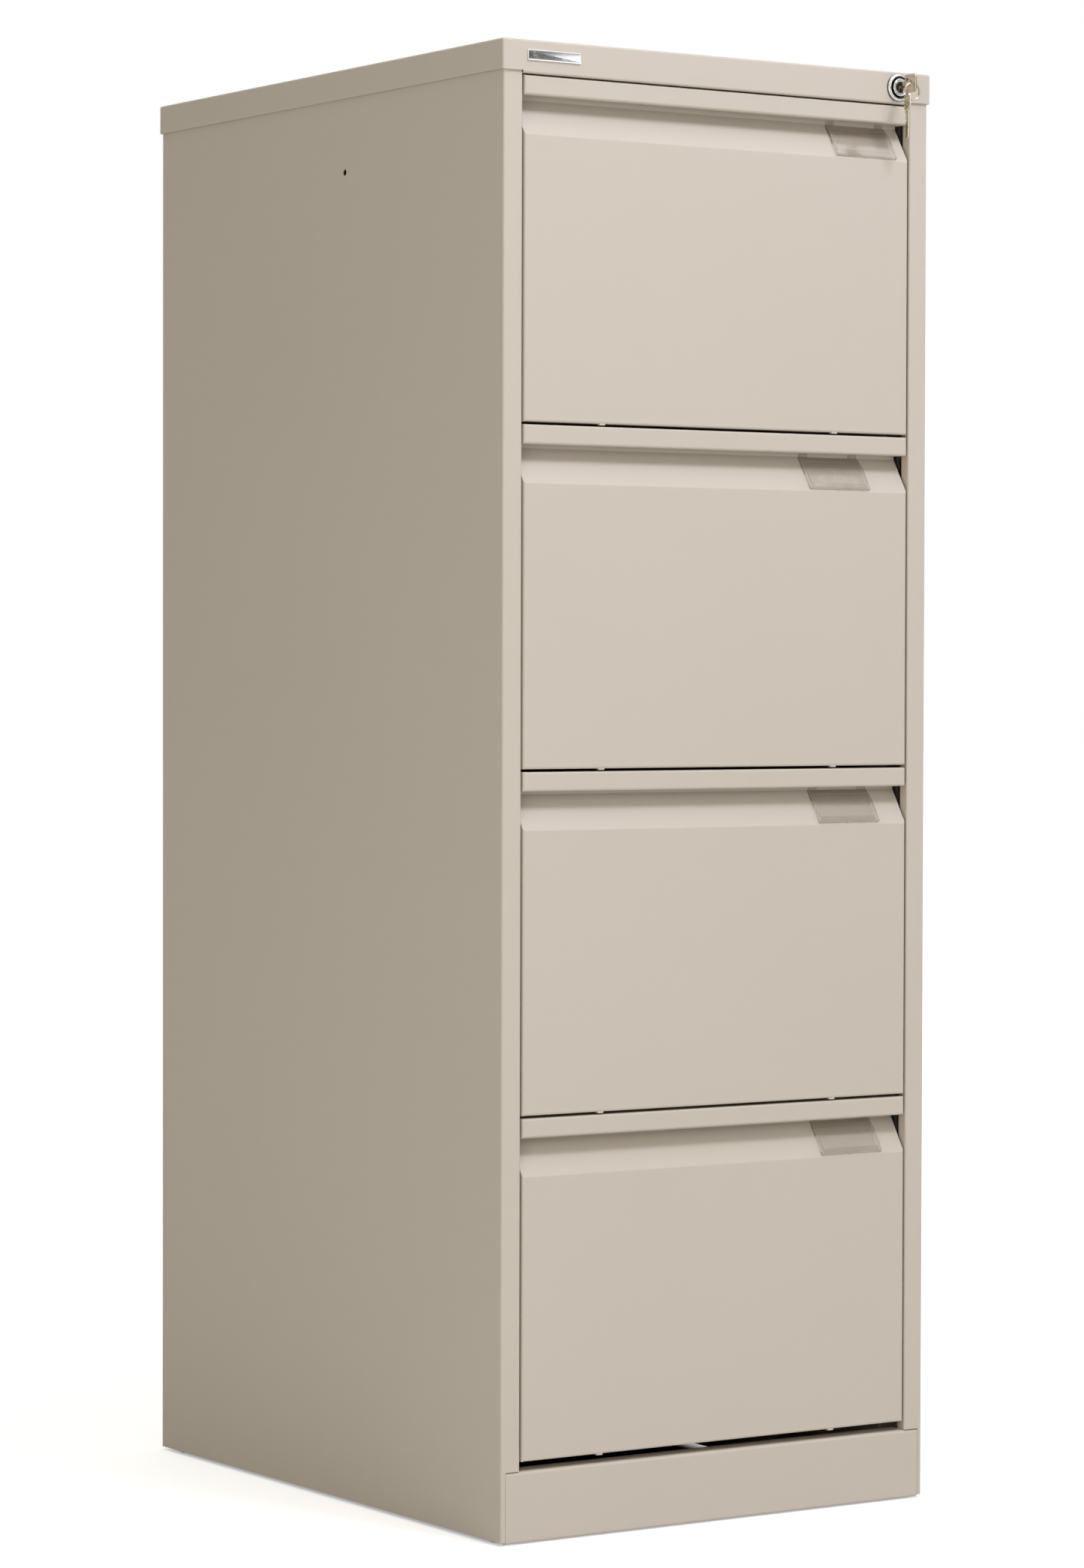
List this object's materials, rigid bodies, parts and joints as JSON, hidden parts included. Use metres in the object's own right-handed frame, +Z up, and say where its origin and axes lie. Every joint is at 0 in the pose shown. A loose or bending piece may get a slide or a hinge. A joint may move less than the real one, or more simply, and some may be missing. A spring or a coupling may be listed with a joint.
{
  "type": "metal filing cabinet",
  "caption": "Tall sheet-steel filing cabinet with full-width drawers on full-extension ball slides, recessed grip bars, label holders and a cam lock with its keys.",
  "frame": {"origin": "on the floor, under the middle of the cabinet's bounding box, keys included", "axes": "+X to the right when facing the front, +Y from the front to the back (the drawers open towards -Y), +Z up"},
  "size_m": [0.47, 0.6508, 1.321],
  "materials": {
    "cabinet_paint": "fine textured powder coat, warm greige, semi-matt",
    "zinc_steel": "zinc plated",
    "bright_chrome": "polished",
    "key_metal": "nickel plated brass, worn",
    "clear_plastic": "clear moulded plastic",
    "foot_plastic": "black moulded"
  },
  "bodies": {
    "carcass": {"left_side_panel": "cabinet_paint", "right_side_panel": "cabinet_paint", "back_panel": "cabinet_paint", "top_cover": "cabinet_paint", "plinth": "cabinet_paint", "base_rails": "cabinet_paint", "front_uprights": "cabinet_paint", "rear_uprights": "cabinet_paint", "top_front_rail": "cabinet_paint", "levelling_feet": "foot_plastic", "foot_nuts": "zinc_steel", "name_badge": "bright_chrome", "lock_housing": "bright_chrome", "lock_nut": "zinc_steel", "lock_bar_guides": "zinc_steel", "slide_outer_members": "zinc_steel"},
    "drawer_1": {"drawer_1_front": "cabinet_paint", "drawer_1_front_liner": "cabinet_paint", "drawer_1_tray": "cabinet_paint", "drawer_1_back": "cabinet_paint", "drawer_1_label_holder": "clear_plastic", "drawer_1_slide_inner": "zinc_steel"},
    "drawer_1_middle": {"drawer_1_slide_middle": "zinc_steel"},
    "drawer_1_outer_cage": {"drawer_1_outer_cage": "zinc_steel"},
    "drawer_1_inner_cage": {"drawer_1_inner_cage": "zinc_steel"},
    "drawer_2": {"drawer_2_front": "cabinet_paint", "drawer_2_front_liner": "cabinet_paint", "drawer_2_tray": "cabinet_paint", "drawer_2_back": "cabinet_paint", "drawer_2_label_holder": "clear_plastic", "drawer_2_slide_inner": "zinc_steel"},
    "drawer_2_middle": {"drawer_2_slide_middle": "zinc_steel"},
    "drawer_2_outer_cage": {"drawer_2_outer_cage": "zinc_steel"},
    "drawer_2_inner_cage": {"drawer_2_inner_cage": "zinc_steel"},
    "drawer_3": {"drawer_3_front": "cabinet_paint", "drawer_3_front_liner": "cabinet_paint", "drawer_3_tray": "cabinet_paint", "drawer_3_back": "cabinet_paint", "drawer_3_label_holder": "clear_plastic", "drawer_3_slide_inner": "zinc_steel"},
    "drawer_3_middle": {"drawer_3_slide_middle": "zinc_steel"},
    "drawer_3_outer_cage": {"drawer_3_outer_cage": "zinc_steel"},
    "drawer_3_inner_cage": {"drawer_3_inner_cage": "zinc_steel"},
    "drawer_4": {"drawer_4_front": "cabinet_paint", "drawer_4_front_liner": "cabinet_paint", "drawer_4_tray": "cabinet_paint", "drawer_4_back": "cabinet_paint", "drawer_4_label_holder": "clear_plastic", "drawer_4_slide_inner": "zinc_steel"},
    "drawer_4_middle": {"drawer_4_slide_middle": "zinc_steel"},
    "drawer_4_outer_cage": {"drawer_4_outer_cage": "zinc_steel"},
    "drawer_4_inner_cage": {"drawer_4_inner_cage": "zinc_steel"},
    "lock_plug": {"lock_plug": "bright_chrome", "lock_cam": "zinc_steel", "cam_screw": "zinc_steel"},
    "lock_bar": {"lock_bar": "zinc_steel"},
    "key": {"key": "key_metal"},
    "key_ring": {"key_ring": "bright_chrome"},
    "spare_key": {"spare_key": "key_metal"}
  },
  "joints": [
    {"name": "drawer_1_slide", "type": "slide", "parent": "carcass", "child": "drawer_1", "axis": [0, -1, 0], "range_m": [0, 0.585]},
    {"name": "drawer_1_middle_slide", "type": "slide", "parent": "carcass", "child": "drawer_1_middle", "axis": [0, -1, 0], "range_m": [0, 0.2925]},
    {"name": "drawer_1_outer_cage_slide", "type": "slide", "parent": "carcass", "child": "drawer_1_outer_cage", "axis": [0, -1, 0], "range_m": [0, 0.14625]},
    {"name": "drawer_1_inner_cage_slide", "type": "slide", "parent": "carcass", "child": "drawer_1_inner_cage", "axis": [0, -1, 0], "range_m": [0, 0.43875]},
    {"name": "drawer_2_slide", "type": "slide", "parent": "carcass", "child": "drawer_2", "axis": [0, -1, 0], "range_m": [0, 0.585]},
    {"name": "drawer_2_middle_slide", "type": "slide", "parent": "carcass", "child": "drawer_2_middle", "axis": [0, -1, 0], "range_m": [0, 0.2925]},
    {"name": "drawer_2_outer_cage_slide", "type": "slide", "parent": "carcass", "child": "drawer_2_outer_cage", "axis": [0, -1, 0], "range_m": [0, 0.14625]},
    {"name": "drawer_2_inner_cage_slide", "type": "slide", "parent": "carcass", "child": "drawer_2_inner_cage", "axis": [0, -1, 0], "range_m": [0, 0.43875]},
    {"name": "drawer_3_slide", "type": "slide", "parent": "carcass", "child": "drawer_3", "axis": [0, -1, 0], "range_m": [0, 0.585]},
    {"name": "drawer_3_middle_slide", "type": "slide", "parent": "carcass", "child": "drawer_3_middle", "axis": [0, -1, 0], "range_m": [0, 0.2925]},
    {"name": "drawer_3_outer_cage_slide", "type": "slide", "parent": "carcass", "child": "drawer_3_outer_cage", "axis": [0, -1, 0], "range_m": [0, 0.14625]},
    {"name": "drawer_3_inner_cage_slide", "type": "slide", "parent": "carcass", "child": "drawer_3_inner_cage", "axis": [0, -1, 0], "range_m": [0, 0.43875]},
    {"name": "drawer_4_slide", "type": "slide", "parent": "carcass", "child": "drawer_4", "axis": [0, -1, 0], "range_m": [0, 0.585]},
    {"name": "drawer_4_middle_slide", "type": "slide", "parent": "carcass", "child": "drawer_4_middle", "axis": [0, -1, 0], "range_m": [0, 0.2925]},
    {"name": "drawer_4_outer_cage_slide", "type": "slide", "parent": "carcass", "child": "drawer_4_outer_cage", "axis": [0, -1, 0], "range_m": [0, 0.14625]},
    {"name": "drawer_4_inner_cage_slide", "type": "slide", "parent": "carcass", "child": "drawer_4_inner_cage", "axis": [0, -1, 0], "range_m": [0, 0.43875]},
    {"name": "lock_turn", "type": "hinge", "parent": "carcass", "child": "lock_plug", "pos_m": [0.1975, -0.29464, 1.3066], "axis": [0, 1, 0], "range_deg": [0, 90]},
    {"name": "lock_bar_slide", "type": "slide", "parent": "carcass", "child": "lock_bar", "axis": [0, 0, -1], "range_m": [0, 0.0128]},
    {"name": "key_withdraw", "type": "slide", "parent": "lock_plug", "child": "key", "axis": [0, -1, 0], "range_m": [0, 0.028]},
    {"name": "key_ring_swing", "type": "hinge", "parent": "key", "child": "key_ring", "pos_m": [0.1975, -0.31804, 1.3092], "axis": [1, 0, 0], "range_deg": [-60, 10]},
    {"name": "spare_key_swing", "type": "hinge", "parent": "key_ring", "child": "spare_key", "pos_m": [0.19184, -0.31804, 1.29554], "axis": [0.9397, -0.342, 0], "range_deg": [-40, 10]}
  ],
  "couplings": [
    {"joint": "drawer_1_middle_slide", "follows": "drawer_1_slide", "ratio": 0.5},
    {"joint": "drawer_1_outer_cage_slide", "follows": "drawer_1_slide", "ratio": 0.25},
    {"joint": "drawer_1_inner_cage_slide", "follows": "drawer_1_slide", "ratio": 0.75},
    {"joint": "drawer_2_middle_slide", "follows": "drawer_2_slide", "ratio": 0.5},
    {"joint": "drawer_2_outer_cage_slide", "follows": "drawer_2_slide", "ratio": 0.25},
    {"joint": "drawer_2_inner_cage_slide", "follows": "drawer_2_slide", "ratio": 0.75},
    {"joint": "drawer_3_middle_slide", "follows": "drawer_3_slide", "ratio": 0.5},
    {"joint": "drawer_3_outer_cage_slide", "follows": "drawer_3_slide", "ratio": 0.25},
    {"joint": "drawer_3_inner_cage_slide", "follows": "drawer_3_slide", "ratio": 0.75},
    {"joint": "drawer_4_middle_slide", "follows": "drawer_4_slide", "ratio": 0.5},
    {"joint": "drawer_4_outer_cage_slide", "follows": "drawer_4_slide", "ratio": 0.25},
    {"joint": "drawer_4_inner_cage_slide", "follows": "drawer_4_slide", "ratio": 0.75},
    {"joint": "lock_bar_slide", "follows": "lock_turn", "m_per_rad": 0.0081}
  ]
}
